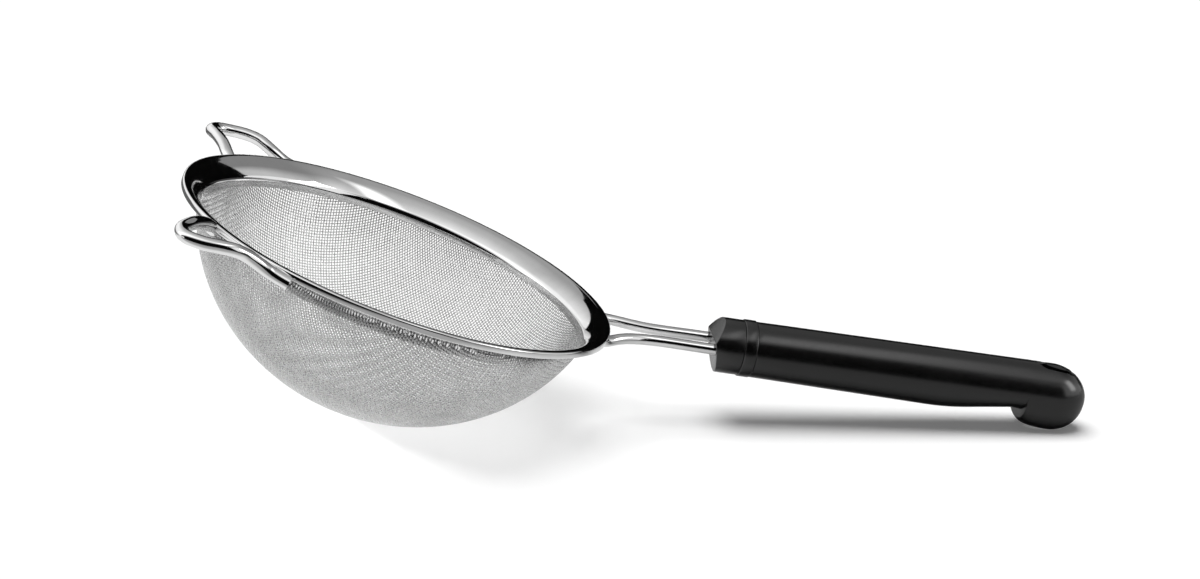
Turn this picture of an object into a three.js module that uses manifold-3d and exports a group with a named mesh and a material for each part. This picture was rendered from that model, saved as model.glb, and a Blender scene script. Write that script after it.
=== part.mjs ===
// Kitchen strainer: a woven wire bowl welded under a polished steel rim, two wire ears that rest on a pot,
// and two tang wires that run from the rim into a black moulded handle.
// Millimetres, +Z up. The strainer stands as it lies on a table: on the bowl and on the heel of the handle.

import * as THREE from 'three';
import { mergeVertices } from 'three/addons/utils/BufferGeometryUtils.js';
import Module from 'manifold-3d';

const wasm = await Module();
wasm.setup();

// Rim: one ring of pressed sheet, measured from its crest plane (z = 0) and its axis
const RIM_RADIUS = 100;
const LIP_ROLL = 3.4;
const LIP_DROP = 1.3;
const LIP_SKIRT = 0.3;
const FLANGE_WIDTH = 7.1;
const FLANGE_DROP = 6.4;
const FLANGE_SLOPE = THREE.MathUtils.degToRad(52);
const NECK_FILLET = 4.2;
const NECK_HEIGHT = 2.6;
const RIM_SHEET = 0.7;
const RIM_SEGMENTS = 56;

// Mesh bowl: wire cloth pressed to a spherical cup, with its edge welded round the outside of the neck
const BOWL_DEPTH = 75.7;
const BOWL_SWELL = 3;
const STRAND_PITCH = 14.2;
const STRAND_WIDTH = 3.2;
const STRAND_THICKNESS = 0.7;
const WELD_HEIGHT = 3.1;
const WELD_THICKNESS = 0.8;

// Wires
const WIRE_DIAMETER = 5;
const WIRE_SIDES = 8;
const EAR_STEPS = 28;
const TANG_STEPS = 26;

// Ears: the loop of the wire, as degrees from the front of the rim and shares of the ear's reach and rise
const EAR_REACH = 28.4;
const EAR_RISE = 3;
const EAR_SINK = 1;
const EAR_LEG_DROP = 4.6;
const EAR_LEG_DIP = 3.1;
const EAR_LEG_ANGLE = 62;
const EAR_DIP_ANGLE = 57;
const EAR_BUTT_ANGLE = 35.2;
const EAR_LOOP = [
  [53.2, 0.35, 0.5],
  [51.8, 0.53, 0.97],
  [50.1, 0.71, 1],
  [47.6, 0.9, 0.6],
  [44.4, 1, 0.3],
  [41.4, 0.89, 0.2],
  [39.1, 0.6, 0.47],
  [37.2, 0.33, 0.3],
];

// Tang wires
const TANG_SPACING = 17;
const TANG_TUCK = 2.8;
const TANG_CLEAR = 0.6;
const TANG_START_ANGLE = 34;
const TANG_END_ANGLE = 17;
const TANG_WELD_POINTS = 4;
const TANG_EXIT_ANGLE = 10;
const TANG_BEND_REACH = 6;
const TANG_BEND_SPREAD = 1.4;
const TANG_STRAIGHT_REACH = 18;
const TANG_EMBED = 60;

// Handle, along its own axis from the ridge of the nose; the heel, the roof and the slot from its end
const HANDLE_REACH = 47.5;
const HANDLE_RISE = 6;
const HANDLE_ANGLE = THREE.MathUtils.degToRad(11.3);
const HANDLE_LENGTH = 180.9;
const HANDLE_RADIUS = 12.7;
const NOSE_LENGTH = 13.5;
const NOSE_RIDGE_HEIGHT = 4;
const NOSE_TOP_BEVEL = 4.4;
const NOSE_FRONT_SLANT = 3.4;
const BAND_WIDTH = 5.7;
const BAND_PROUD = 0.45;
const SPIGOT_RADIUS = 11.9;
const BELLY_DEPTH = 13.9;
const BELLY_TO_HEEL = 35;
const BELLY_BLEND = 10;
const NOTCH_DEPTH = 9.2;
const NOTCH_RELIEF = 0.2;
const NOTCH_LENGTH = 5;
const HEEL_LENGTH = 31;
const HEEL_FRONT_DEPTH = 13.4;
const HEEL_DEPTH = 17.2;
const HEEL_ROUNDING = 16;
const HEEL_FLAT = 0.6;
const HEEL_FULLNESS = 2.6;
const ROOF_ROUNDING = 18;
const ROOF_SWELL = 1.1;
const END_HEIGHT = -2;
const LAST_RING = 0.97;
const SLOT_TO_END = 16.5;
const SLOT_LENGTH = 16;
const SLOT_WIDTH = 7;
const GRIP_SIDES = 24;

// Clearances between pieces that touch
const SEAT_GAP = 0.3;

// Finishes
const finish = (color, roughness, metalness) => (
  new THREE.MeshStandardMaterial({ color, roughness, metalness })
);
const polishedSteel = () => finish(0xc9cbcd, 0.08, 1);
const wireCloth = () => finish(0xb9bbbd, 0.3, 1);
const blackPlastic = () => finish(0x17181a, 0.42, 0);

const crestRadius = RIM_RADIUS - LIP_ROLL;
const filletTurn = Math.PI / 2 - FLANGE_SLOPE;
const flangeInside = crestRadius - FLANGE_WIDTH;
const neckInside = flangeInside - NECK_FILLET * (1 - Math.cos(filletTurn));
const neckOutside = neckInside + RIM_SHEET;
const neckTop = -FLANGE_DROP - NECK_FILLET * Math.sin(filletTurn);
const neckBottom = neckTop - NECK_HEIGHT;
const lipBottom = -LIP_DROP - LIP_SKIRT;
const wireRadius = WIRE_DIAMETER / 2;

// A closed mesh with merged vertices and its faces outward
function closedGeometry(geometry) {
  const bare = geometry.index ? geometry.toNonIndexed() : geometry.clone();
  bare.deleteAttribute('normal');
  bare.deleteAttribute('uv');
  const merged = mergeVertices(bare, 1e-4);
  const position = merged.attributes.position;
  const kept = [];
  let volume = 0;
  const a = new THREE.Vector3();
  const b = new THREE.Vector3();
  const c = new THREE.Vector3();
  for (let i = 0; i < merged.index.count; i += 3) {
    const corners = [0, 1, 2].map((k) => merged.index.getX(i + k));
    if (new Set(corners).size < 3) continue;
    kept.push(corners);
    a.fromBufferAttribute(position, corners[0]);
    b.fromBufferAttribute(position, corners[1]);
    c.fromBufferAttribute(position, corners[2]);
    volume += a.dot(b.cross(c));
  }
  const outward = volume > 0 ? kept : kept.map(([p, q, r]) => [p, r, q]);
  merged.setIndex(outward.flat());
  return merged;
}

function toManifold(geometry) {
  const closed = closedGeometry(geometry);
  return new wasm.Manifold(new wasm.Mesh({
    numProp: 3,
    vertProperties: new Float32Array(closed.attributes.position.array),
    triVerts: new Uint32Array(closed.index.array),
  }));
}

function toGeometry(solid) {
  const mesh = solid.getMesh();
  const geometry = new THREE.BufferGeometry();
  geometry.setAttribute('position', new THREE.BufferAttribute(new Float32Array(mesh.vertProperties), 3));
  geometry.setIndex(new THREE.BufferAttribute(new Uint32Array(mesh.triVerts), 1));
  return geometry;
}

// A ring or cup turned about the Z axis from a profile of radius and height
function turned(profile, segments) {
  return closedGeometry(new THREE.LatheGeometry(profile, segments).rotateX(Math.PI / 2));
}

// A round bar along a curve, with flat ends
function roundBar(curve, radius, sides, steps) {
  const section = new THREE.Shape();
  for (let i = 0; i < sides; i += 1) {
    const turn = (i / sides) * 2 * Math.PI;
    const point = [radius * Math.cos(turn), radius * Math.sin(turn)];
    if (i === 0) section.moveTo(...point);
    else section.lineTo(...point);
  }
  return closedGeometry(new THREE.ExtrudeGeometry(section, { steps, extrudePath: curve }));
}

// A skin through rings of points that all have the same count, closed at both ends by a fan
function loft(rings) {
  const sides = rings[0].length;
  const vertices = rings.flat();
  const first = vertices.length;
  const ends = [rings[0], rings[rings.length - 1]];
  for (const ring of ends) {
    const middle = new THREE.Vector3();
    ring.forEach((point) => middle.add(point));
    vertices.push(middle.divideScalar(sides));
  }
  const index = [];
  const last = (rings.length - 1) * sides;
  for (let i = 0; i < sides; i += 1) {
    const j = (i + 1) % sides;
    for (let ring = 0; ring < last; ring += sides) {
      index.push(ring + i, ring + j, ring + sides + i);
      index.push(ring + j, ring + sides + j, ring + sides + i);
    }
    index.push(first, j, i);
    index.push(first + 1, last + i, last + j);
  }
  const geometry = new THREE.BufferGeometry().setFromPoints(vertices);
  geometry.setIndex(index);
  return closedGeometry(geometry);
}

// A profile in the plane of the handle's axis and height, carried across the handle
function acrossHandle(profile, width) {
  const slab = new THREE.ExtrudeGeometry(profile, { depth: width, bevelEnabled: false, curveSegments: 6 });
  return slab.translate(0, 0, -width / 2).rotateX(Math.PI / 2);
}

// A round rod along the handle's axis
function rodAlongHandle(radius, from, to, side, sides) {
  const rod = new THREE.CylinderGeometry(radius, radius, to - from, sides);
  return rod.rotateZ(-Math.PI / 2).translate((from + to) / 2, side, 0);
}

function named(name, geometry, material) {
  const mesh = new THREE.Mesh(geometry, material);
  mesh.name = name;
  return mesh;
}

// Rim: neck, flange swept out to the crest, and an outer lip rolled down, all of one sheet
function rimGeometry() {
  const bendRadius = neckInside + NECK_FILLET;
  const crestPull = crestRadius - FLANGE_WIDTH + FLANGE_DROP / Math.tan(FLANGE_SLOPE);
  const under = new THREE.Vector2(
    flangeInside + RIM_SHEET * Math.cos(filletTurn),
    -FLANGE_DROP - RIM_SHEET * Math.sin(filletTurn),
  );
  const underPull = under.x + (-RIM_SHEET - under.y) / Math.tan(FLANGE_SLOPE);
  const lipInside = RIM_RADIUS - RIM_SHEET;
  const path = new THREE.Path();
  path.moveTo(neckInside, neckBottom);
  path.lineTo(neckInside, neckTop);
  path.absarc(bendRadius, neckTop, NECK_FILLET, Math.PI, Math.PI - filletTurn, true);
  path.quadraticCurveTo(crestPull, 0, crestRadius, 0);
  path.absellipse(crestRadius, -LIP_DROP, LIP_ROLL, LIP_DROP, Math.PI / 2, 0, true);
  path.lineTo(RIM_RADIUS, lipBottom);
  path.lineTo(lipInside, lipBottom);
  path.lineTo(lipInside, -LIP_DROP);
  path.absellipse(crestRadius, -LIP_DROP, LIP_ROLL - RIM_SHEET, LIP_DROP - RIM_SHEET, 0, Math.PI / 2, false);
  path.quadraticCurveTo(underPull, -RIM_SHEET, under.x, under.y);
  path.absarc(bendRadius, neckTop, NECK_FILLET - RIM_SHEET, Math.PI - filletTurn, Math.PI, false);
  path.lineTo(neckOutside, neckBottom);
  path.closePath();
  return turned(path.getPoints(2), RIM_SEGMENTS);
}

// Mesh bowl: a slightly flattened sphere runs through the middle of the cloth and of its weld
const weldMiddle = neckBottom + WELD_HEIGHT / 2;
const weldRadius = neckOutside + SEAT_GAP + WELD_THICKNESS / 2;
const bowlRadius = weldRadius + BOWL_SWELL;
const weldSlope = Math.sqrt(1 - (weldRadius / bowlRadius) ** 2);
const bowlCentre = (weldSlope * BOWL_DEPTH + weldMiddle) / (1 - weldSlope);
const bowlHeight = BOWL_DEPTH + bowlCentre;

// Crossings of the cloth: a cell keeps its four sides one pitch long, so it leans where the cup is steep
function clothCrossings(reach) {
  const step = STRAND_PITCH / bowlRadius;
  const crossings = new Map();
  const set = (i, j, point) => crossings.set(`${i},${j}`, point);
  const get = (i, j) => crossings.get(`${i},${j}`);
  for (let k = -reach; k <= reach; k += 1) {
    set(k, 0, new THREE.Vector3(Math.sin(k * step), 0, -Math.cos(k * step)));
    set(0, k, new THREE.Vector3(0, Math.sin(k * step), -Math.cos(k * step)));
  }
  for (const side of [[1, 1], [1, -1], [-1, 1], [-1, -1]]) {
    for (let i = 1; i <= reach; i += 1) {
      for (let j = 1; j <= reach; j += 1) {
        const along = get((i - 1) * side[0], j * side[1]);
        const across = get(i * side[0], (j - 1) * side[1]);
        const behind = get((i - 1) * side[0], (j - 1) * side[1]);
        if (!along || !across || !behind) continue;
        const mirror = along.clone().cross(across).normalize();
        const point = behind.clone().addScaledVector(mirror, -2 * behind.dot(mirror));
        if (point.z < 0.05) set(i * side[0], j * side[1], point);
      }
    }
  }
  return crossings;
}

// Woven cloth as one body: at each crossing one strand passes over the other, and they swap at the next
function clothGeometry() {
  const rimAngle = Math.acos((bowlCentre - neckBottom - WELD_HEIGHT) / bowlHeight);
  const reach = Math.ceil((rimAngle * bowlRadius) / STRAND_PITCH) + 1;
  const crossings = clothCrossings(reach);
  const near = (i, j) => crossings.get(`${i},${j}`);
  const vertices = [];
  const index = [];
  const first = new Map();
  const half = STRAND_WIDTH / 2 / bowlRadius;
  const levels = [-STRAND_THICKNESS, 0, STRAND_THICKNESS].map((lift) => bowlRadius + lift);
  const tangent = (point, ahead, behind) => {
    const run = (ahead ?? point).clone().sub(behind ?? point);
    return run.addScaledVector(point, -run.dot(point)).normalize();
  };
  for (const [key, point] of crossings) {
    const [i, j] = key.split(',').map(Number);
    const u = tangent(point, near(i + 1, j), near(i - 1, j));
    const v = tangent(point, near(i, j + 1), near(i, j - 1));
    first.set(key, vertices.length);
    for (const [su, sv] of [[1, -1], [1, 1], [-1, 1], [-1, -1]]) {
      const corner = point.clone().addScaledVector(u, su * half).addScaledVector(v, sv * half).normalize();
      levels.forEach((level) => vertices.push(corner.clone().multiplyScalar(level)));
    }
  }
  const quad = (a, b, c, d) => index.push(a, b, c, a, c, d);
  const sides = [[1, 0, 0, 1], [0, 1, 1, 2], [-1, 0, 2, 3], [0, -1, 3, 0]];
  for (const key of crossings.keys()) {
    const [i, j] = key.split(',').map(Number);
    const at = first.get(key);
    const vertex = (corner, level) => at + corner * 3 + level;
    quad(vertex(0, 2), vertex(3, 2), vertex(2, 2), vertex(1, 2));
    quad(vertex(0, 0), vertex(1, 0), vertex(2, 0), vertex(3, 0));
    for (const [di, dj, from, to] of sides) {
      const over = ((i + j) % 2 === 0) === (dj === 0) ? 1 : 0;
      const joined = near(i + di, j + dj) !== undefined;
      for (const low of [0, 1]) {
        if (joined && low === over) continue;
        quad(vertex(from, low), vertex(from, low + 1), vertex(to, low + 1), vertex(to, low));
      }
      if (!joined || di + dj < 0) continue;
      const next = first.get(`${i + di},${j + dj}`);
      const far = (corner, level) => next + corner * 3 + level;
      const [farFrom, farTo] = di === 1 ? [3, 2] : [0, 3];
      const low = over;
      const farLow = 1 - over;
      quad(vertex(from, low + 1), vertex(to, low + 1), far(farTo, farLow + 1), far(farFrom, farLow + 1));
      quad(vertex(from, low), far(farFrom, farLow), far(farTo, farLow), vertex(to, low));
      quad(vertex(from, low), vertex(from, low + 1), far(farFrom, farLow + 1), far(farFrom, farLow));
      quad(vertex(to, low), far(farTo, farLow), far(farTo, farLow + 1), vertex(to, low + 1));
    }
  }
  const geometry = new THREE.BufferGeometry().setFromPoints(vertices);
  geometry.setIndex(index);
  return closedGeometry(geometry.scale(1, 1, bowlHeight / bowlRadius).translate(0, 0, bowlCentre));
}

// The cloth is trimmed level inside the weld, where its wires are pressed flat round the neck
function bowlGeometry() {
  const inside = weldRadius - WELD_THICKNESS / 2;
  const outside = weldRadius + WELD_THICKNESS / 2;
  const top = neckBottom + WELD_HEIGHT;
  const weld = turned([
    new THREE.Vector2(inside, neckBottom - WELD_THICKNESS),
    new THREE.Vector2(outside, neckBottom - WELD_THICKNESS),
    new THREE.Vector2(outside, top),
    new THREE.Vector2(inside, top),
    new THREE.Vector2(inside, neckBottom - WELD_THICKNESS),
  ], RIM_SEGMENTS);
  const deep = -BOWL_DEPTH - WIRE_DIAMETER;
  const trim = turned([
    new THREE.Vector2(0, deep),
    new THREE.Vector2(RIM_RADIUS, deep),
    new THREE.Vector2(RIM_RADIUS, neckBottom - WELD_THICKNESS / 2),
    new THREE.Vector2(0, neckBottom - WELD_THICKNESS / 2),
  ], RIM_SEGMENTS);
  const cloth = toManifold(clothGeometry()).intersect(toManifold(trim));
  return toGeometry(cloth.add(toManifold(weld)));
}

// A place by the rim: angle from the front or back, reach beyond the lip, height over the crest
function besideRim(facing, side, degrees, reach, height) {
  const turn = THREE.MathUtils.degToRad(degrees);
  const radius = RIM_RADIUS + reach;
  return new THREE.Vector3(facing * radius * Math.cos(turn), side * radius * Math.sin(turn), height);
}

// Ear: one wire bent to a swept loop, its long leg tucked under the lip and its short leg butted to it
function earGeometry(side) {
  const beside = wireRadius + SEAT_GAP;
  const points = [
    besideRim(-1, side, EAR_LEG_ANGLE, SEAT_GAP, -EAR_LEG_DROP),
    besideRim(-1, side, EAR_DIP_ANGLE, beside + SEAT_GAP, -EAR_LEG_DIP),
    ...EAR_LOOP.map(([degrees, out, up]) => (
      besideRim(-1, side, degrees, out * EAR_REACH, up * EAR_RISE - EAR_SINK)
    )),
    besideRim(-1, side, EAR_BUTT_ANGLE, beside, -EAR_SINK),
  ];
  const curve = new THREE.CatmullRomCurve3(points, false, 'centripetal');
  return roundBar(curve, wireRadius, WIRE_SIDES, EAR_STEPS);
}

// Handle axis: a point on it, and a place beside it
function onHandle(along, across, up) {
  const forward = new THREE.Vector3(Math.cos(HANDLE_ANGLE), 0, Math.sin(HANDLE_ANGLE));
  const upward = new THREE.Vector3(-Math.sin(HANDLE_ANGLE), 0, Math.cos(HANDLE_ANGLE));
  const origin = new THREE.Vector3(RIM_RADIUS + HANDLE_REACH, across, HANDLE_RISE);
  return origin.addScaledVector(forward, along).addScaledVector(upward, up);
}

// Tang wire: tucked into the hollow under the lip, bent out beside its twin, then straight into the handle
function tangGeometry(side) {
  const underCrest = -RIM_SHEET - TANG_CLEAR - wireRadius;
  const underLip = lipBottom - SEAT_GAP - wireRadius;
  const half = side * (TANG_SPACING / 2);
  const points = [];
  for (let i = 0; i <= TANG_WELD_POINTS; i += 1) {
    const degrees = THREE.MathUtils.lerp(TANG_START_ANGLE, TANG_END_ANGLE, i / TANG_WELD_POINTS);
    points.push(besideRim(1, side, degrees, -TANG_TUCK, underCrest));
  }
  const turnOut = (TANG_END_ANGLE + TANG_EXIT_ANGLE) / 2;
  points.push(besideRim(1, side, turnOut, -TANG_TUCK, (underCrest + underLip) / 2));
  points.push(besideRim(1, side, TANG_EXIT_ANGLE, 0, underLip));
  points.push(onHandle(TANG_BEND_REACH - HANDLE_REACH, half * TANG_BEND_SPREAD, 0));
  points.push(onHandle(TANG_STRAIGHT_REACH - HANDLE_REACH, half, 0));
  points.push(onHandle(0, half, 0));
  points.push(onHandle(TANG_EMBED, half, 0));
  const curve = new THREE.CatmullRomCurve3(points, false, 'centripetal');
  return roundBar(curve, wireRadius, WIRE_SIDES, TANG_STEPS);
}

// Holes for both tang wires, wide enough for the facets of the wire
function tangHoles(from, to) {
  const radius = (wireRadius + SEAT_GAP) / Math.cos(Math.PI / WIRE_SIDES);
  const holes = [1, -1].map((side) => (
    toManifold(rodAlongHandle(radius, from, to, side * (TANG_SPACING / 2), WIRE_SIDES))
  ));
  return holes[0].add(holes[1]);
}

// Nose: the front of the handle, cut to a chisel whose ridge lies over the tang wires
function noseGeometry() {
  const body = toManifold(rodAlongHandle(HANDLE_RADIUS, -NOSE_FRONT_SLANT, NOSE_LENGTH, 0, GRIP_SIDES));
  const past = HANDLE_RADIUS + NOSE_FRONT_SLANT;
  const chisel = new THREE.Shape();
  chisel.moveTo(0, NOSE_RIDGE_HEIGHT);
  chisel.lineTo(NOSE_TOP_BEVEL, HANDLE_RADIUS);
  chisel.lineTo(NOSE_TOP_BEVEL, past);
  chisel.lineTo(NOSE_LENGTH + past, past);
  chisel.lineTo(NOSE_LENGTH + past, -past);
  chisel.lineTo(NOSE_FRONT_SLANT, -past);
  chisel.lineTo(NOSE_FRONT_SLANT, -HANDLE_RADIUS);
  chisel.closePath();
  const cut = body.intersect(toManifold(acrossHandle(chisel, 4 * HANDLE_RADIUS)));
  return toGeometry(cut.subtract(tangHoles(-past, NOSE_LENGTH + past)));
}

// Band: a thin ring on the spigot, standing a little proud of the nose and the grip
const bandFront = NOSE_LENGTH + SEAT_GAP;
const gripFront = bandFront + BAND_WIDTH + SEAT_GAP;

function bandGeometry() {
  const inside = (SPIGOT_RADIUS + SEAT_GAP) / Math.cos(Math.PI / GRIP_SIDES);
  const outside = HANDLE_RADIUS + BAND_PROUD;
  const edge = BAND_PROUD / 2;
  const ring = turned([
    new THREE.Vector2(inside, 0),
    new THREE.Vector2(outside - edge, 0),
    new THREE.Vector2(outside, edge),
    new THREE.Vector2(outside, BAND_WIDTH - edge),
    new THREE.Vector2(outside - edge, BAND_WIDTH),
    new THREE.Vector2(inside, BAND_WIDTH),
    new THREE.Vector2(inside, 0),
  ], GRIP_SIDES);
  return ring.rotateY(Math.PI / 2).translate(bandFront, 0, 0);
}

// Grip outline: a round bar with a slight belly, a step down to the heel, and an end that is rounded off
const heelFront = HANDLE_LENGTH - HEEL_LENGTH;
const heelCrown = HANDLE_LENGTH - HEEL_ROUNDING;
const bellyPlace = heelFront - BELLY_TO_HEEL;

function roundOff(along, from, to) {
  const share = THREE.MathUtils.clamp((along - from) / (to - from), 0, 1);
  return Math.sqrt(1 - share ** 2);
}

function shaftDepth(along) {
  const swell = (BELLY_DEPTH - HANDLE_RADIUS) / bellyPlace;
  const fall = (BELLY_DEPTH - NOTCH_DEPTH + NOTCH_RELIEF) / (BELLY_TO_HEEL - NOTCH_LENGTH) + swell;
  const past = along - bellyPlace + BELLY_BLEND;
  const eased = Math.max(0, past) ** 2 / (4 * BELLY_BLEND);
  const bent = past < 2 * BELLY_BLEND ? eased : past - BELLY_BLEND;
  return HANDLE_RADIUS + swell * along - fall * bent;
}

function heelDepth(along) {
  const front = HEEL_FRONT_DEPTH + (HEEL_DEPTH - HEEL_FRONT_DEPTH) * roundOff(-along, -heelCrown, -heelFront);
  return (front + END_HEIGHT) * roundOff(along, heelCrown, HANDLE_LENGTH) - END_HEIGHT;
}

function gripSection(along, depth, fullness) {
  const roof = roundOff(along, HANDLE_LENGTH - ROOF_ROUNDING, HANDLE_LENGTH);
  const middle = END_HEIGHT * (1 - roof);
  const swell = THREE.MathUtils.mapLinear(Math.min(along, heelFront), gripFront, heelFront, 0, ROOF_SWELL);
  const halfWidth = HANDLE_RADIUS * roundOff(along, heelCrown, HANDLE_LENGTH);
  const ring = [];
  for (let i = 0; i < GRIP_SIDES; i += 1) {
    const turn = (i / GRIP_SIDES) * 2 * Math.PI;
    const above = Math.sin(turn) > 0;
    const reach = above ? (HANDLE_RADIUS + swell) * roof : depth + middle;
    const bow = (share) => Math.sign(share) * Math.abs(share) ** (2 / (above ? 2 : fullness));
    const across = halfWidth * bow(Math.cos(turn));
    ring.push(new THREE.Vector3(along, across, middle + reach * bow(Math.sin(turn))));
  }
  return ring;
}

// Rest: the tilt at which the bowl and the heel both touch a table, found by halving
const heelHeight = HEEL_DEPTH + END_HEIGHT;

function heelSupport(tilt) {
  const slope = tilt - HANDLE_ANGLE;
  const drop = Math.hypot(HEEL_ROUNDING * Math.sin(slope), heelHeight * Math.cos(slope)) - HEEL_FLAT;
  const middle = onHandle(heelCrown, 0, END_HEIGHT);
  return middle.x * -Math.sin(tilt) + middle.z * Math.cos(tilt) - drop;
}

function bowlSupport(tilt) {
  const drop = Math.hypot(bowlRadius * Math.sin(tilt), bowlHeight * Math.cos(tilt));
  return bowlCentre * Math.cos(tilt) - drop - STRAND_THICKNESS;
}

let low = 0;
let high = Math.PI / 3;
for (let i = 0; i < 50; i += 1) {
  const middle = (low + high) / 2;
  if (heelSupport(middle) > bowlSupport(middle)) low = middle;
  else high = middle;
}
const restTilt = (low + high) / 2;

function gripGeometry() {
  const rings = [];
  const shaftSteps = 9;
  for (let i = 0; i <= shaftSteps; i += 1) {
    const along = THREE.MathUtils.lerp(gripFront, heelFront - NOTCH_LENGTH, i / shaftSteps);
    rings.push(gripSection(along, shaftDepth(along), 2));
  }
  rings.push(gripSection(heelFront, NOTCH_DEPTH, 2));
  const heelSteps = 12;
  for (let i = 0; i <= heelSteps; i += 1) {
    const turn = (i / heelSteps) * LAST_RING * (Math.PI / 2);
    const along = heelFront + HEEL_LENGTH * Math.sin(turn);
    rings.push(gripSection(along, heelDepth(along), HEEL_FULLNESS));
  }
  let grip = toManifold(loft(rings));
  const spigot = rodAlongHandle(SPIGOT_RADIUS, bandFront, gripFront + SPIGOT_RADIUS, 0, GRIP_SIDES);
  grip = grip.add(toManifold(spigot));
  const slot = new THREE.Shape();
  const slotCentre = HANDLE_LENGTH - SLOT_TO_END;
  const reach = (SLOT_LENGTH - SLOT_WIDTH) / 2;
  slot.absarc(slotCentre + reach, 0, SLOT_WIDTH / 2, -Math.PI / 2, Math.PI / 2, false);
  slot.absarc(slotCentre - reach, 0, SLOT_WIDTH / 2, Math.PI / 2, 1.5 * Math.PI, false);
  const through = { depth: 4 * HEEL_DEPTH, bevelEnabled: false, curveSegments: 6 };
  const well = new THREE.ExtrudeGeometry(slot, through);
  grip = grip.subtract(toManifold(well.translate(0, 0, -2 * HEEL_DEPTH)));
  grip = grip.subtract(tangHoles(-NOSE_LENGTH, TANG_EMBED + SEAT_GAP));
  const slope = restTilt - HANDLE_ANGLE;
  const table = new THREE.BoxGeometry(HANDLE_LENGTH, HANDLE_LENGTH, HEEL_DEPTH);
  const drop = Math.hypot(HEEL_ROUNDING * Math.sin(slope), heelHeight * Math.cos(slope)) - HEEL_FLAT;
  table.translate(0, 0, -drop - HEEL_DEPTH / 2).rotateY(-slope).translate(heelCrown, 0, END_HEIGHT);
  return toGeometry(grip.subtract(toManifold(table)));
}

const strainer = new THREE.Group();
strainer.add(named('rim', rimGeometry(), polishedSteel()));
strainer.add(named('mesh_bowl', bowlGeometry(), wireCloth()));
for (const [word, side] of [['left', -1], ['right', 1]]) {
  strainer.add(named(`ear_${word}`, earGeometry(side), polishedSteel()));
  strainer.add(named(`tang_wire_${word}`, tangGeometry(side), polishedSteel()));
}

const handle = new THREE.Group();
handle.position.set(RIM_RADIUS + HANDLE_REACH, 0, HANDLE_RISE);
handle.rotation.y = -HANDLE_ANGLE;
handle.add(named('handle_nose', noseGeometry(), blackPlastic()));
handle.add(named('handle_band', bandGeometry(), blackPlastic()));
handle.add(named('handle_grip', gripGeometry(), blackPlastic()));
strainer.add(handle);
strainer.rotation.y = restTilt;

// Origin: under the middle of the whole strainer, on the table
const part = new THREE.Group();
part.add(strainer);
part.updateMatrixWorld(true);
const box = new THREE.Box3().setFromObject(part, true);
strainer.position.set(-(box.min.x + box.max.x) / 2, -(box.min.y + box.max.y) / 2, -box.min.z);

export default part;
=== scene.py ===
# Kitchen strainer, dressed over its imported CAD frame: polished rim, woven wire bowl, two wire ears,
# two tang wires and a black three-piece handle, lying on the table on its bowl and its heel.

import math

import bmesh
import bpy
import numpy as np
from mathutils import Matrix, Vector


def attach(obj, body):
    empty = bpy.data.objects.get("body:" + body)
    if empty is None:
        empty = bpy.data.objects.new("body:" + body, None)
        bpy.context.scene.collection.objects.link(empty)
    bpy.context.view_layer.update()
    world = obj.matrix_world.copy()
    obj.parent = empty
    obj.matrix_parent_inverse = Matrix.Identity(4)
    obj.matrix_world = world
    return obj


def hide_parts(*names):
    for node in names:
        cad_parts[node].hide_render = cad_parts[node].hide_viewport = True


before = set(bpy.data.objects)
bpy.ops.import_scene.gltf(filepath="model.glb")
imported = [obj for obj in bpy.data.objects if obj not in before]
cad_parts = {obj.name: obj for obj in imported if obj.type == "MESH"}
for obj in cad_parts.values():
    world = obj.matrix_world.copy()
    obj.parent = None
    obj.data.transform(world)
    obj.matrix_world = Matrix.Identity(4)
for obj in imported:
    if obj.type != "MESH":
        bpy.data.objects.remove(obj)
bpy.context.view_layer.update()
scene = bpy.context.scene

# The rim is one ring of polished stainless sheet, pressed to a neck, a flared flange and a crest,
# with its outer edge rolled down to a small lip. The mesh is welded round its neck from outside.
sheet = 0.7
neck_edge = (88.96, -11.24)
neck_middle = (94.11, -9.59)
neck_round = 5.5
crest_middle = (98.47, -4.5)
crest_round = 4.5
lip_middle = (99.1, -0.95)
lip_round = 0.9
lip_edge = (99.65, -2.6)


def ring_frame(node, to_top, ahead):
    """Frame in millimetres of a turned CAD node, its Z or X laid on the node's own axis."""
    points = np.array([v.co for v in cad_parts[node].data.vertices])
    middle = points.mean(axis=0)
    axis = np.linalg.svd(points - middle, full_matrices=False)[2][2]
    if axis @ np.array(ahead) < 0:
        axis = -axis
    if to_top:
        middle = middle + axis * ((points - middle) @ axis).max()
    across = Vector((0, 1, 0))
    axis = Vector(axis)
    if to_top:
        columns = (across.cross(axis), across, axis)
    else:
        columns = (axis, across, axis.cross(across))
    turn = Matrix([[column[row] for column in columns] for row in range(3)]).to_4x4()
    return Matrix.Translation(Vector(middle)) @ turn @ Matrix.Scale(0.001, 4)


rim_frame = ring_frame("rim", True, (0, 0, 1))


def noise_between(tree, scale, detail, low, high):
    """A noise on the object's own coordinates, spread between two values."""
    place = tree.nodes.new("ShaderNodeTexCoord")
    noise = tree.nodes.new("ShaderNodeTexNoise")
    noise.inputs["Scale"].default_value = scale
    noise.inputs["Detail"].default_value = detail
    tree.links.new(place.outputs["Object"], noise.inputs["Vector"])
    spread = tree.nodes.new("ShaderNodeMapRange")
    spread.inputs["From Min"].default_value = 0.3
    spread.inputs["From Max"].default_value = 0.7
    spread.inputs["To Min"].default_value = low
    spread.inputs["To Max"].default_value = high
    tree.links.new(noise.outputs["Fac"], spread.inputs["Value"])
    return spread.outputs["Result"]


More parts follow.
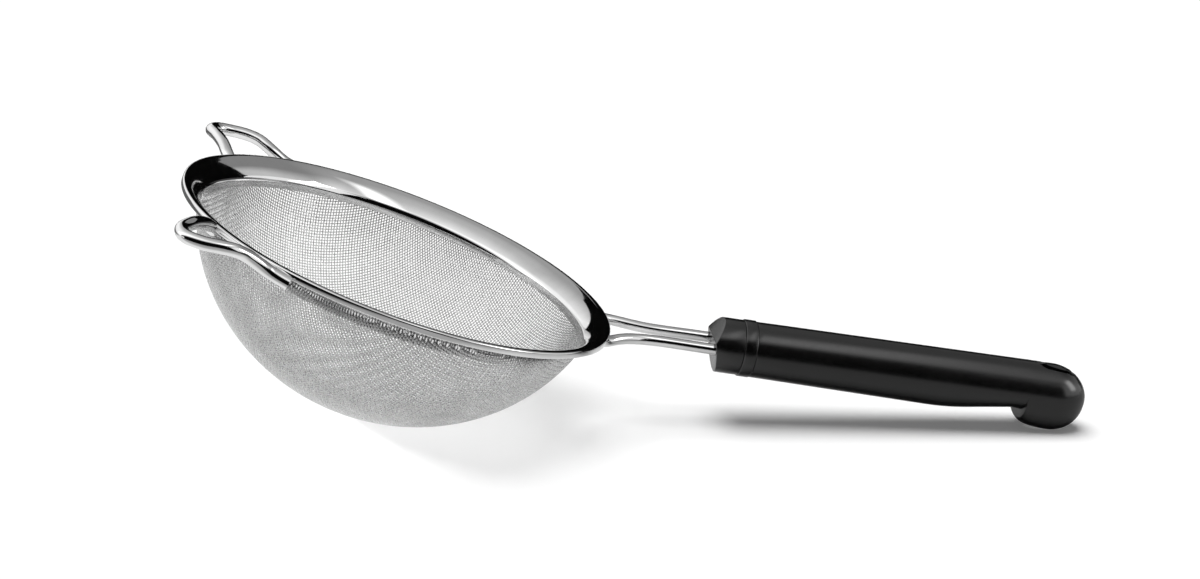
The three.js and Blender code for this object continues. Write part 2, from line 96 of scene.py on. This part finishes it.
def grey_finish(name, metallic, grey, rough):
    """A grey whose shade and roughness wander, each by a noise's scale, detail, low and high."""
    finish = bpy.data.materials.new(name)
    finish.use_nodes = True
    tree = finish.node_tree
    shader = tree.nodes["Principled BSDF"]
    shader.inputs["Metallic"].default_value = metallic
    shade = noise_between(tree, *grey)
    tint = tree.nodes.new("ShaderNodeCombineColor")
    for channel in ("Red", "Green", "Blue"):
        tree.links.new(shade, tint.inputs[channel])
    tree.links.new(tint.outputs["Color"], shader.inputs["Base Color"])
    tree.links.new(noise_between(tree, *rough), shader.inputs["Roughness"])
    return finish


steel = grey_finish("polished_steel", 1, grey=(90, 4, 0.74, 0.8), rough=(260, 6, 0.035, 0.085))


def arc(middle, radius, start, end, steps):
    turns = [math.radians(start + (end - start) * i / steps) for i in range(steps + 1)]
    return [(middle[0] + radius * math.cos(t), middle[1] + radius * math.sin(t)) for t in turns]


def bend(a, b, c, steps):
    shares = [i / steps for i in range(1, steps)]
    return [tuple((1 - t) ** 2 * p + 2 * t * (1 - t) * q + t * t * r for p, q, r in zip(a, b, c))
            for t in shares]


def turned(places, axis, steps):
    """A closed outline spun a full turn round an axis."""
    ring = bmesh.new()
    points = [ring.verts.new(place) for place in places]
    edges = [ring.edges.new((points[i - 1], points[i])) for i in range(len(points))]
    bmesh.ops.spin(ring, geom=points + edges, cent=(0, 0, 0), axis=axis, angle=2 * math.pi,
                   steps=steps, use_merge=True)
    return ring


def mesh_from(name, bm, matrix, sharp_degrees):
    """Turns a bmesh in local millimetres into a smooth-shaded mesh in the frame."""
    bmesh.ops.recalc_face_normals(bm, faces=bm.faces[:])
    mesh = bpy.data.meshes.new(name)
    bm.to_mesh(mesh)
    bm.free()
    mesh.transform(matrix)
    mesh.polygons.foreach_set("use_smooth", [True] * len(mesh.polygons))
    mesh.set_sharp_from_angle(angle=math.radians(sharp_degrees))
    return mesh


def add_piece(name, data, material, slot, *nodes):
    """Links a finished mesh or curve, and lets it ride in place of its CAD nodes."""
    piece = bpy.data.objects.new(name, data)
    scene.collection.objects.link(piece)
    data.materials.append(material)
    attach(piece, "root")
    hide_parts(*nodes)
    return piece


rim_profile = arc(neck_edge, sheet / 2, 0, -180, 8)
rim_profile += arc(neck_middle, neck_round, 180, 142, 16)
rim_profile += bend((89.78, -6.2), (93.25, -1.76), (96.79, -0.33), 30)
rim_profile += arc(crest_middle, crest_round, 112, 80, 16)
rim_profile += arc(lip_middle, lip_round, 76, 4, 10)
rim_profile += arc(lip_edge, sheet / 2, 0, -180, 8)
rim_profile += arc(lip_middle, lip_round - sheet, 0, 80, 6)
rim_profile += arc(crest_middle, crest_round - sheet, 80, 112, 8)
rim_profile += bend((97.05, -0.98), (93.69, -2.33), (90.33, -6.63), 16)
rim_profile += arc(neck_middle, neck_round - sheet, 142, 180, 8)
rim = turned([(out, 0, height) for out, height in rim_profile], (0, 0, 1), 288)
rim_mesh = mesh_from("rim_sheet", rim, rim_frame, 60)
rim_sheet = add_piece("rim_sheet", rim_mesh, steel, "polished_steel", "rim")
rim_sheet.visible_shadow = False

# The bowl is plain woven stainless wire cloth, about 1.4 mm from wire to wire, pressed to a cup.
# Every cell keeps its sides as it is pressed, so the cells lean where the cup is steep.
wire_pitch = 1.42
wire_radius = 0.23
wave = 0.2
cloth_lift = 0.33
cloth_turn = Matrix.Rotation(math.radians(27), 3, "Z")
cloth_top = -8.7
cup_radius = 93.0
cup_height = 87.8
cup_centre = 12.1
neck_outside = 89.31
drawn_in_from = -12.5
drawn_in_over = 3.5
reach = 96

cloth = grey_finish("wire_cloth", 1, grey=(140, 3, 0.6, 0.7), rough=(900, 2, 0.24, 0.3))


def cloth_net():
    """Unit vectors of the crossings, by their two counts from the bottom of the cup."""
    step = wire_pitch / cup_radius
    crossings = {}
    for k in range(-reach, reach + 1):
        crossings[k, 0] = Vector((math.sin(k * step), 0, -math.cos(k * step)))
        crossings[0, k] = Vector((0, math.sin(k * step), -math.cos(k * step)))
    for sx, sy in ((1, 1), (1, -1), (-1, 1), (-1, -1)):
        for i in range(1, reach + 1):
            for j in range(1, reach + 1):
                along = crossings.get(((i - 1) * sx, j * sy))
                beside = crossings.get((i * sx, (j - 1) * sy))
                behind = crossings.get(((i - 1) * sx, (j - 1) * sy))
                if along is None or beside is None or behind is None:
                    continue
                mirror = along.cross(beside).normalized()
                point = behind - 2 * behind.dot(mirror) * mirror
                if point.z < 0:
                    crossings[i * sx, j * sy] = point
    return crossings


def on_cup(unit, lift):
    """A place on the cloth; its top edge is drawn in against the neck."""
    place = cloth_turn @ unit * (cup_radius + lift)
    place.z = cup_centre + place.z * cup_height / cup_radius
    flat = max(math.hypot(place.x, place.y), wire_pitch)
    rise = min(max((place.z - drawn_in_from) / drawn_in_over, 0), 1)
    pull = rise * rise * max(0, flat - neck_outside - 2 * wire_radius - lift)
    shrink = 1 - pull / flat
    return Vector((place.x * shrink, place.y * shrink, place.z))


def wire_run(net, keys, over_first):
    """One wire of the cloth, waved over and under, cut at the top of the cloth."""
    run = []
    last = None
    for key in keys:
        unit = net.get(key)
        if unit is None:
            continue
        over = (key[0] + key[1]) % 2 == 0
        place = on_cup(unit, cloth_lift + (wave if over == over_first else -wave))
        inside = place.z < cloth_top
        if last is not None and inside != last[1]:
            share = (cloth_top - last[0].z) / (place.z - last[0].z)
            run.append(last[0].lerp(place, share))
        if inside:
            run.append(place)
        last = (place, inside)
    return run


net = cloth_net()
span = range(-reach, reach + 1)
warp = {i: wire_run(net, [(i, j) for j in span], True) for i in span}
weft = {j: wire_run(net, [(i, j) for i in span], False) for j in span}
cloth_parts = {
    "cloth_warp_front": [warp[i] for i in span if i < 0],
    "cloth_warp_back": [warp[i] for i in span if i >= 0],
    "cloth_weft_left": [weft[j] for j in span if j < 0],
    "cloth_weft_right": [weft[j] for j in span if j >= 0],
}
for name, runs in cloth_parts.items():
    wires = bpy.data.curves.new(name, "CURVE")
    wires.dimensions = "3D"
    wires.bevel_depth = wire_radius * 0.001
    wires.bevel_resolution = 1
    for run in runs:
        if len(run) < 3:
            continue
        spline = wires.splines.new("POLY")
        spline.points.add(len(run) - 1)
        placed = [rim_frame @ point for point in run]
        spline.points.foreach_set("co", [value for p in placed for value in (p.x, p.y, p.z, 1)])
        spline.use_smooth = True
    cloth_piece = add_piece(name, wires, cloth, "wire_cloth", "mesh_bowl")
    cloth_piece.visible_shadow = name == "cloth_warp_back"

# The ears are two loops of polished wire that rest on the edge of a pot. The long leg of each is
# tucked under the lip and welded there, and the short leg is butted to the lip.
rim_radius = 100
ear_radius = 2.85
route_steps = 14
ear_loop = [
    (62, 0.3, -4.6), (57, 3.1, -3.1), (53.2, 9.94, 0.5), (51.8, 15.05, 1.91), (50.1, 20.16, 2),
    (47.6, 25.56, 1.2), (44.4, 28.4, 0.7), (41.4, 25.28, 0.9), (39.1, 17.04, 1.6),
    (37.2, 9.37, 0.8), (35.2, 2.8, -1.2), (34.2, -1.6, -3.4),
]


def smooth_route(points):
    """A centripetal curve through the points of a bent wire."""
    ends = [points[0] * 2 - points[1]] + points + [points[-1] * 2 - points[-2]]
    route = []
    for a, b, c, d in zip(ends, ends[1:], ends[2:], ends[3:]):
        ta, tb, tc = ((b - a).length ** 0.5, (c - b).length ** 0.5, (d - c).length ** 0.5)
        out = ((b - a) / ta - (c - a) / (ta + tb) + (c - b) / tb) * tb
        into = ((c - b) / tb - (d - b) / (tb + tc) + (d - c) / tc) * tb
        for k in range(route_steps):
            t = k / route_steps
            route.append(b + out * t + (3 * (c - b) - 2 * out - into) * t * t
                         + (2 * (b - c) + out + into) * t ** 3)
    return route + [points[-1]]


def round_wire(name, points, radius, pressed, node):
    """A polished wire through points of the rim's frame, its first places pressed thinner."""
    rod = bpy.data.curves.new(name, "CURVE")
    rod.dimensions = "3D"
    rod.bevel_depth = radius * 0.001
    rod.bevel_resolution = 8
    rod.use_fill_caps = True
    route = [rim_frame @ point for point in smooth_route(points)]
    spline = rod.splines.new("POLY")
    spline.points.add(len(route) - 1)
    spline.points.foreach_set("co", [value for p in route for value in (p.x, p.y, p.z, 1)])
    for point, share in zip(spline.points, pressed):
        point.radius = share
    spline.use_smooth = True
    return add_piece(name, rod, steel, "polished_steel", node)


def beside_rim(facing, side, degrees, past_rim, height):
    turn = math.radians(degrees)
    out = rim_radius + past_rim
    return Vector((facing * out * math.cos(turn), side * out * math.sin(turn), height))


for word, side in (("left", -1), ("right", 1)):
    loop = [beside_rim(-1, side, *place) for place in ear_loop]
    ear_wire = round_wire("ear_wire_" + word, loop, ear_radius, [], "ear_" + word)
    ear_wire.visible_shadow = False

# The tang wires are polished 5 mm wire. Each is welded in the hollow under the lip, comes out beside
# its twin, straightens along the handle's axis and runs on inside the handle.
tang_radius = 2.5
tang_side = 8.5
weld_reach = -2.8
band_middle = 16.65
pressed_end = [0.3 + 0.7 * i / 55 for i in range(56)]

handle_frame = ring_frame("handle_band", False, (1, 0, 0)) @ Matrix.Translation((-band_middle, 0, 0))
rim_to_handle = rim_frame.inverted() @ handle_frame
for word, side in (("left", -1), ("right", 1)):
    route = [beside_rim(1, side, 34 - 4.25 * i, weld_reach, -3.8) for i in range(5)]
    route += [beside_rim(1, side, 13.5, weld_reach, -4.1), beside_rim(1, side, 10, 0, -4.4)]
    for along, across in ((-41.5, 11.9), (-29.5, tang_side), (0, tang_side), (60, tang_side)):
        route.append(rim_to_handle @ Vector((along, side * across, 0)))
    round_wire("tang_rod_" + word, route, tang_radius, pressed_end, "tang_wire_" + word)

# The nose is the front moulding of the handle, black satin plastic cut to a chisel.
# The two tang wires go in through its front face.
handle_radius = 12.7
nose_front = -3.4
nose_back = 13.7
nose_edge = 0.35
tang_hole = 2.7

plastic = grey_finish("black_plastic", 0, grey=(60, 5, 0.002, 0.0045), rough=(420, 3, 0.19, 0.24))
plastic_tree = plastic.node_tree
plastic_shader = plastic_tree.nodes["Principled BSDF"]
plastic_shader.inputs["Specular IOR Level"].default_value = 0.75
grain = plastic_tree.nodes.new("ShaderNodeBump")
grain.inputs["Strength"].default_value = 0.12
grain.inputs["Distance"].default_value = 0.00005
plastic_tree.links.new(noise_between(plastic_tree, 2600, 2, 0, 1), grain.inputs["Height"])
plastic_tree.links.new(grain.outputs["Normal"], plastic_shader.inputs["Normal"])


def cut_from(bm, cutter):
    """The first bmesh less the second, as a new bmesh."""
    made = []
    for solid in (bm, cutter):
        bmesh.ops.recalc_face_normals(solid, faces=solid.faces[:])
        mesh = bpy.data.meshes.new("cut")
        solid.to_mesh(mesh)
        solid.free()
        made.append(bpy.data.objects.new("cut", mesh))
        scene.collection.objects.link(made[-1])
    cut = made[0].modifiers.new("cut", "BOOLEAN")
    cut.operation = "DIFFERENCE"
    cut.solver = "EXACT"
    cut.object = made[1]
    depsgraph = bpy.context.evaluated_depsgraph_get()
    left = bmesh.new()
    left.from_mesh(made[0].evaluated_get(depsgraph).to_mesh())
    for spent in made:
        mesh = spent.data
        bpy.data.objects.remove(spent)
        bpy.data.meshes.remove(mesh)
    return left


def round_bar(radius, start, end, side, segments):
    """A round bar along the handle's axis."""
    bar = bmesh.new()
    turn = Matrix.Translation(((start + end) / 2, side, 0)) @ Matrix.Rotation(math.pi / 2, 4, "Y")
    bmesh.ops.create_cone(bar, cap_ends=True, segments=segments, radius1=radius, radius2=radius,
                          depth=end - start, matrix=turn)
    return bar


nose = round_bar(handle_radius, nose_front, nose_back, 0, 128)
for slant in ((-8.7, 0, 4.4), (-16.7, 0, -3.4)):
    everything = nose.verts[:] + nose.edges[:] + nose.faces[:]
    bmesh.ops.bisect_plane(nose, geom=everything, dist=0.0001, plane_co=(0, 0, 4), plane_no=slant,
                           clear_outer=True)
    bmesh.ops.holes_fill(nose, edges=[e for e in nose.edges if e.is_boundary])
nose_edges = [e for e in nose.edges if e.calc_face_angle(0) > 0.3]
bmesh.ops.bevel(nose, geom=nose_edges, offset=nose_edge, affect="EDGES", segments=3, profile=0.5,
                material=-1)
for side in (tang_side, -tang_side):
    nose = cut_from(nose, round_bar(tang_hole, -20, 40, side, 32))
nose_mesh = mesh_from("nose_moulding", nose, handle_frame, 35)
add_piece("nose_moulding", nose_mesh, plastic, "black_plastic", "handle_nose")

# The band is a thin ring of the same black plastic, pushed on the grip's spigot behind the nose.
# It stands a little proud, so its two edges show as fine bright lines.
band_profile = [(13.76, 12.2), (13.76, 12.72), (13.84, 12.86), (14.14, 13.1), (14.3, 13.15)]
band_profile += [(19, 13.15), (19.16, 13.1), (19.46, 12.86), (19.54, 12.72), (19.54, 12.2)]
band = turned([(along, 0, up) for along, up in band_profile], (1, 0, 0), 128)
band_mesh = mesh_from("band_ring", band, handle_frame, 40)
add_piece("band_ring", band_mesh, plastic, "black_plastic", "handle_band")

# The grip is the long black moulding: a round bar with a slight belly, a step down to a heel with a
# flat front face, and a rounded end with a slot for hanging. Its spigot carries the band.
handle_length = 180.9
grip_sides = 112
spigot_front = 13.9
grip_front = 19.6
front_round = 0.2
shaft_start = grip_front + front_round
roof_swell = 1.1
belly_depth = 13.9
waist_depth = 9.2
heel_front = 149.9
heel_crown = 164.9
heel_inside_round = 0.3
heel_edge_round = 0.6
heel_fullness = 2.6
end_height = -2
slot_centre = handle_length - 16.5
slot_reach = 4.5
slot_half = 4.3
slot_round = 1.2


def round_off(along, start, end):
    share = min(max((along - start) / (end - start), 0), 1)
    return math.sqrt(1 - share * share)


def shaft_depth(along):
    """Depth of the shaft under the axis: a slow swell to the belly, then a fall to the waist."""
    belly_place = heel_front - 35
    swell = (belly_depth - handle_radius) / belly_place
    fall = (belly_depth - waist_depth + 0.2) / 30 + swell
    past = along - belly_place + 10
    bent = max(0, past) ** 2 / 40 if past < 20 else past - 10
    return handle_radius + swell * along - fall * bent


def heel_depth(along):
    front = 13.4 + 3.8 * round_off(-along, -heel_crown, -heel_front)
    return (front + end_height) * round_off(along, heel_crown, handle_length) - end_height


def section_shape(along):
    """Middle height, half width and half roof of the grip."""
    roof = round_off(along, handle_length - 18, handle_length)
    middle = end_height * (1 - roof)
    half = handle_radius * round_off(along, heel_crown, handle_length)
    swell = roof_swell * max(0, min(along, heel_front) - shaft_start) / (heel_front - shaft_start)
    return middle, half, (handle_radius + swell) * roof


def grip_ring(along, depth, inset, fullness):
    """One ring of the grip; above its middle it is round, below it may be squarer."""
    middle, half, roof = section_shape(along)
    ring = []
    for i in range(grip_sides):
        turn = 2 * math.pi * i / grip_sides
        power = 1 if math.sin(turn) > 0 else 2 / fullness
        across = math.copysign(abs(math.cos(turn)) ** power, math.cos(turn))
        up = math.copysign(abs(math.sin(turn)) ** power, math.sin(turn))
        tall = (roof if up > 0 else depth + middle) - inset
        ring.append(grip.verts.new((along, (half - inset) * across, middle + tall * up)))
    return ring


def skin_over(bm, rings):
    """Faces between each ring of points and the next."""
    for before, after in zip(rings, rings[1:]):
        for i in range(len(before)):
            j = (i + 1) % len(before)
            bm.faces.new((before[i], before[j], after[j], after[i]))


grip = bmesh.new()
rings = [grip_ring(along, handle_radius, 0.8, 2) for along in (spigot_front, grip_front)]
for turn in (0, 30, 60, 90):
    inset = front_round * (1 - math.sin(math.radians(turn)))
    along = grip_front + front_round * (1 - math.cos(math.radians(turn)))
    rings.append(grip_ring(along, shaft_depth(along), inset, 2))
for i in range(1, 61):
    along = shaft_start + (heel_front - 5.5 - shaft_start) * i / 60
    rings.append(grip_ring(along, shaft_depth(along), 0, 2))
for along, depth in ((145.6, 9.1), (147.4, 9.08), (148.8, 9.12)):
    rings.append(grip_ring(along, depth, 0, 2))
for turn in (20, 45, 70, 90):
    along = heel_front - heel_inside_round * (1 - math.sin(math.radians(turn)))
    depth = waist_depth + heel_inside_round * (1 - math.cos(math.radians(turn)))
    rings.append(grip_ring(along, depth, 0, 2))
for turn in (0, 20, 40, 60, 80, 90):
    along = heel_front + heel_edge_round * (1 - math.cos(math.radians(turn)))
    depth = heel_depth(along) - heel_edge_round * (1 - math.sin(math.radians(turn)))
    rings.append(grip_ring(along, depth, 0, heel_fullness))
heel_start = heel_front + heel_edge_round
for i in range(1, 49):
    along = heel_start + (handle_length - heel_start) * math.sin(i / 48 * 0.992 * math.pi / 2)
    rings.append(grip_ring(along, heel_depth(along), 0, heel_fullness))
skin_over(grip, rings)
grip.faces.new(rings[0])
grip.faces.new(rings[-1])
bmesh.ops.remove_doubles(grip, verts=grip.verts[:], dist=0.001)


def slot_outline(grow):
    """The slot's rounded outline, grown outward."""
    radius = slot_half + grow
    points = []
    for end, start in ((slot_reach, -90), (-slot_reach, 90)):
        for i in range(25):
            turn = math.radians(start + 180 * i / 24)
            points.append((slot_centre + end + radius * math.cos(turn), radius * math.sin(turn)))
    return points


def grip_skin(along, across, below):
    """Height of the grip's skin over a place beside its axis."""
    middle, half, roof = section_shape(along)
    if below:
        bow = (1 - abs(across / half) ** heel_fullness) ** (1 / heel_fullness)
        return middle - (heel_depth(along) + middle) * bow
    return middle + roof * math.sqrt(1 - (across / half) ** 2)


slot_flare = [(slot_round * 1.6, -1.5), (slot_round * 1.05, -0.25)]
for turn in (75, 60, 45, 30, 15, 0):
    tilt = math.radians(turn)
    slot_flare.append((slot_round * (1 - math.cos(tilt)), slot_round * (1 - math.sin(tilt))))
well = bmesh.new()
levels = []
for below, sign, flare in ((False, -1, slot_flare), (True, 1, slot_flare[::-1])):
    for grow, sink in flare:
        ring = [(x, y, grip_skin(x, y, below) + sign * sink) for x, y in slot_outline(grow)]
        levels.append([well.verts.new(place) for place in ring])
skin_over(well, levels)
for ring in (levels[0], levels[-1]):
    cap = well.faces.new(ring)
    bmesh.ops.triangulate(well, faces=[cap])
grip = cut_from(grip, well)
from_frame = handle_frame.inverted()
for vert in grip.verts:
    rested = handle_frame @ vert.co
    if rested.z < 0:
        vert.co = from_frame @ Vector((rested.x, rested.y, 0))
grip_mesh = mesh_from("grip_moulding", grip, handle_frame, 35)
add_piece("grip_moulding", grip_mesh, plastic, "black_plastic", "handle_grip")

# The table is plain white and runs into the white background, and it keeps the strainer's soft shadow.
# In the polished metal its colour is painted grey: painted light under the bowl, painted shade in
# front, behind and by the handle.
table = bmesh.new()
bmesh.ops.create_grid(table, x_segments=1, y_segments=1, size=8)
table_mesh = bpy.data.meshes.new("table")
table.to_mesh(table_mesh)
table.free()
table_top = bpy.data.objects.new("table", table_mesh)
table_top.location.z = -0.0002
scene.collection.objects.link(table_top)


def soft_change(tree, value, start, end, low, high):
    """A soft step from one level to another as a value grows."""
    change = tree.nodes.new("ShaderNodeMapRange")
    change.interpolation_type = "SMOOTHSTEP"
    change.inputs["From Min"].default_value = start
    change.inputs["From Max"].default_value = end
    change.inputs["To Min"].default_value = low
    change.inputs["To Max"].default_value = high
    tree.links.new(value, change.inputs["Value"])
    return change


def joined(tree, operation, first, second):
    """One level made of two."""
    node = tree.nodes.new("ShaderNodeMath")
    node.operation = operation
    tree.links.new(first, node.inputs[0])
    tree.links.new(second, node.inputs[1])
    return node.outputs["Value"]


white = bpy.data.materials.new("white_table")
white.use_nodes = True
white_tree = white.node_tree
white_tree.nodes.remove(white_tree.nodes["Principled BSDF"])
path = white_tree.nodes.new("ShaderNodeLightPath")
table_place = white_tree.nodes.new("ShaderNodeTexCoord")
table_axes = white_tree.nodes.new("ShaderNodeSeparateXYZ")
white_tree.links.new(table_place.outputs["Object"], table_axes.inputs["Vector"])
along_table = table_axes.outputs["X"]
into_table = table_axes.outputs["Y"]
# Painted light and shade for reflections: the table's grey as the metal sees it, set by its place on
# the table.
front_part = soft_change(white_tree, into_table, -0.85, -0.3, 0.03, 0.42)
under_bowl = soft_change(white_tree, into_table, -0.22, -0.1, 0, 0.5)
behind_bowl = soft_change(white_tree, into_table, 0.08, 0.4, 1, 0.15)
by_handle = soft_change(white_tree, into_table, -0.3, -0.1, 0.06, 0.45)
to_handle = soft_change(white_tree, along_table, -0.04, 0.08, 1, 0)
white_tree.links.new(by_handle.outputs["Result"], to_handle.inputs["To Max"])
mirrored_painted_shade = front_part.outputs["Result"]
for operation, part in (("ADD", under_bowl), ("MULTIPLY", behind_bowl), ("MULTIPLY", to_handle)):
    mirrored_painted_shade = joined(white_tree, operation, mirrored_painted_shade, part.outputs["Result"])
# Camera rays see the plain white 0.92; glossy rays see the painted light and shade.
paper_and_painted_shade = white_tree.nodes.new("ShaderNodeMapRange")
paper_and_painted_shade.inputs["To Min"].default_value = 0.92
white_tree.links.new(path.outputs["Is Glossy Ray"], paper_and_painted_shade.inputs["Value"])
white_tree.links.new(mirrored_painted_shade, paper_and_painted_shade.inputs["To Max"])
matt = white_tree.nodes.new("ShaderNodeBsdfDiffuse")
white_tree.links.new(paper_and_painted_shade.outputs["Result"], matt.inputs["Color"])
lift = white_tree.nodes.new("ShaderNodeMath")
lift.operation = "MULTIPLY"
lift.inputs[1].default_value = 0.12
white_tree.links.new(path.outputs["Is Camera Ray"], lift.inputs[0])
glow = white_tree.nodes.new("ShaderNodeEmission")
white_tree.links.new(lift.outputs["Value"], glow.inputs["Strength"])
both = white_tree.nodes.new("ShaderNodeAddShader")
white_tree.links.new(matt.outputs["BSDF"], both.inputs[0])
white_tree.links.new(glow.outputs["Emission"], both.inputs[1])
white_tree.links.new(both.outputs["Shader"], white_tree.nodes["Material Output"].inputs["Surface"])
table_mesh.materials.append(white)

# The background is plain white where it is seen, straight or in the metal.
# It lights the strainer only faintly, so that the lamp above gives the shadow.
world = bpy.data.worlds.new("studio")
scene.world = world
world.use_nodes = True
air = world.node_tree
background = air.nodes["Background"]
background.inputs["Color"].default_value = (1, 1, 1, 1)
sight = air.nodes.new("ShaderNodeLightPath")
seen = joined(air, "MAXIMUM", sight.outputs["Is Camera Ray"], sight.outputs["Is Glossy Ray"])
seen = joined(air, "MAXIMUM", seen, sight.outputs["Is Transmission Ray"])
level = air.nodes.new("ShaderNodeMapRange")
level.inputs["To Min"].default_value = 0.09
level.inputs["To Max"].default_value = 1
air.links.new(seen, level.inputs["Value"])
air.links.new(level.outputs["Result"], background.inputs["Strength"])

# Black cards stand in front of the set and behind it, and a low grey one at its back left.
# The polished rim and the wires mirror them, and the grey one shows in the nose's slanted face.


def glowing(name, strength):
    """A finish that glows evenly."""
    finish = bpy.data.materials.new(name)
    finish.use_nodes = True
    shader = finish.node_tree.nodes["Principled BSDF"]
    shader.inputs["Base Color"].default_value = (0, 0, 0, 1)
    shader.inputs["Emission Color"].default_value = (1, 1, 1, 1)
    shader.inputs["Emission Strength"].default_value = strength
    return finish


def screen(name, corners, material):
    """A studio screen that shows in polished metal and nowhere else."""
    panel = bmesh.new()
    panel.faces.new([panel.verts.new(corner) for corner in corners])
    mesh = bpy.data.meshes.new(name)
    panel.to_mesh(mesh)
    panel.free()
    mesh.materials.append(material)
    thing = bpy.data.objects.new(name, mesh)
    scene.collection.objects.link(thing)
    thing.visible_camera = False
    thing.visible_diffuse = False
    thing.visible_transmission = False
    thing.visible_volume_scatter = False
    thing.visible_shadow = False


def standing(name, start, end, bottom, top, material):
    """A screen that stands upright between two places on the table."""
    low_corners = [(*start, bottom), (*end, bottom)]
    screen(name, low_corners + [(*end, top), (*start, top)], material)


black = bpy.data.materials.new("card_black")
black.use_nodes = True
black_shader = black.node_tree.nodes["Principled BSDF"]
black_shader.inputs["Base Color"].default_value = (0.004, 0.004, 0.004, 1)
black_shader.inputs["Roughness"].default_value = 1
black_shader.inputs["Specular IOR Level"].default_value = 0
standing("front_card", (-2.8, -1.3), (1.1, -1.3), 0, 1, black)
standing("back_card", (-0.26, 1.1), (0.1, 1.1), 0, 0.85, black)
standing("low_card", (0.1, 1.2), (0.55, 1.2), 0, 0.6, black)
standing("side_card", (0.55, 1.3), (2.8, 1.3), 0, 0.6, black)
standing("nose_card", (-0.56, 1.05), (-0.26, 1.05), 0, 0.25, glowing("card_grey", 0.5))

# One wide soft box hangs over the set, brightest on its left and over the handle, and fades out at its
# front. A lamp stands at the right for the end of the handle, and a broad one above gives the shadow.
bright = bpy.data.materials.new("soft_box_front")
bright.use_nodes = True
bright_tree = bright.node_tree
bright_tree.nodes.remove(bright_tree.nodes["Principled BSDF"])
box_place = bright_tree.nodes.new("ShaderNodeTexCoord")


def across_box(direction, start, end, low, high):
    """A soft change of brightness along a direction of the soft box."""
    along = bright_tree.nodes.new("ShaderNodeVectorMath")
    along.operation = "DOT_PRODUCT"
    along.inputs[1].default_value = direction
    bright_tree.links.new(box_place.outputs["Object"], along.inputs[0])
    return soft_change(bright_tree, along.outputs["Value"], start, end, low, high).outputs["Result"]


overall = across_box((-0.7, -1, 0), -1.3, 0.15, 0.22, 0.6)
to_corner = across_box((-0.7, -1, 0), -0.1, 0.95, 0, 0.9)
to_right = across_box((1, -0.6, 0), 0.4, 0.65, 0, 1.25)
past_handle = across_box((1, 0, 0), 0.5, 0.7, 1, 0)
to_far_right = across_box((1, -0.6, 0), 0.5, 2, 0, 0.75)
to_left = across_box((-1, 0, 0), 0.1, 1.2, 0.4, 1.15)
to_front = across_box((0.12, 1, 0), -1.1, -0.42, 0, 1)
to_side = across_box((1, 0.5, 0), 0.75, 1.2, 1, 0.65)
over_handle = joined(bright_tree, "MULTIPLY", to_right, past_handle)
to_edges = joined(bright_tree, "MAXIMUM", to_corner, to_far_right)
box_level = joined(bright_tree, "MAXIMUM", to_edges, over_handle)
box_level = joined(bright_tree, "ADD", overall, box_level)
box_level = joined(bright_tree, "MAXIMUM", box_level, to_left)
box_level = joined(bright_tree, "MULTIPLY", box_level, to_front)
box_level = joined(bright_tree, "MULTIPLY", box_level, to_side)
shine = bright_tree.nodes.new("ShaderNodeEmission")
bright_tree.links.new(box_level, shine.inputs["Strength"])
bright_tree.links.new(shine.outputs["Emission"], bright_tree.nodes["Material Output"].inputs["Surface"])
box_height = 1
box_outline = ((-5, -1.4), (0.75, -1.4), (1.5, -0.6), (2.7, 0.4), (5.2, 2.2), (5.2, 3), (-5, 3))
screen("soft_box", [(x, y, box_height) for x, y in box_outline], bright)
standing("side_lamp", (1.14, -0.56), (1.28, -0.16), 0.3, 1, glowing("side_lamp_front", 4.2))

lamp = bpy.data.lights.new("overhead", "SUN")
lamp.energy = 2.95
lamp.angle = math.radians(46)
overhead = bpy.data.objects.new("overhead", lamp)
overhead.rotation_euler = (math.radians(-5), math.radians(-10), 0)
overhead.visible_glossy = False
scene.collection.objects.link(overhead)

# The camera looks at the strainer from the left of its middle and a little above, as the photograph
# does. Its place and turns were fitted to the rim, the bowl, the wires and the table.
yaw = 0.123952
down = 0.308716
roll = 0.066079
camera_place = (-0.13473, -0.89382, 0.34824)
ahead = Vector((math.sin(yaw) * math.cos(down), math.cos(yaw) * math.cos(down), -math.sin(down)))
right = Vector((math.cos(yaw), -math.sin(yaw), 0))
up = right.cross(ahead)
turned_right = right * math.cos(roll) + up * math.sin(roll)
turned_up = up * math.cos(roll) - right * math.sin(roll)
columns = (turned_right, turned_up, -ahead)
facing = Matrix([[column[row] for column in columns] for row in range(3)]).to_4x4()
lens = bpy.data.cameras.new("camera")
lens.lens = 63
lens.sensor_width = 36
lens.sensor_fit = "HORIZONTAL"
lens.clip_end = 50
camera = bpy.data.objects.new("camera", lens)
camera.matrix_world = Matrix.Translation(camera_place) @ facing
scene.collection.objects.link(camera)
scene.camera = camera
scene.view_settings.view_transform = "Standard"
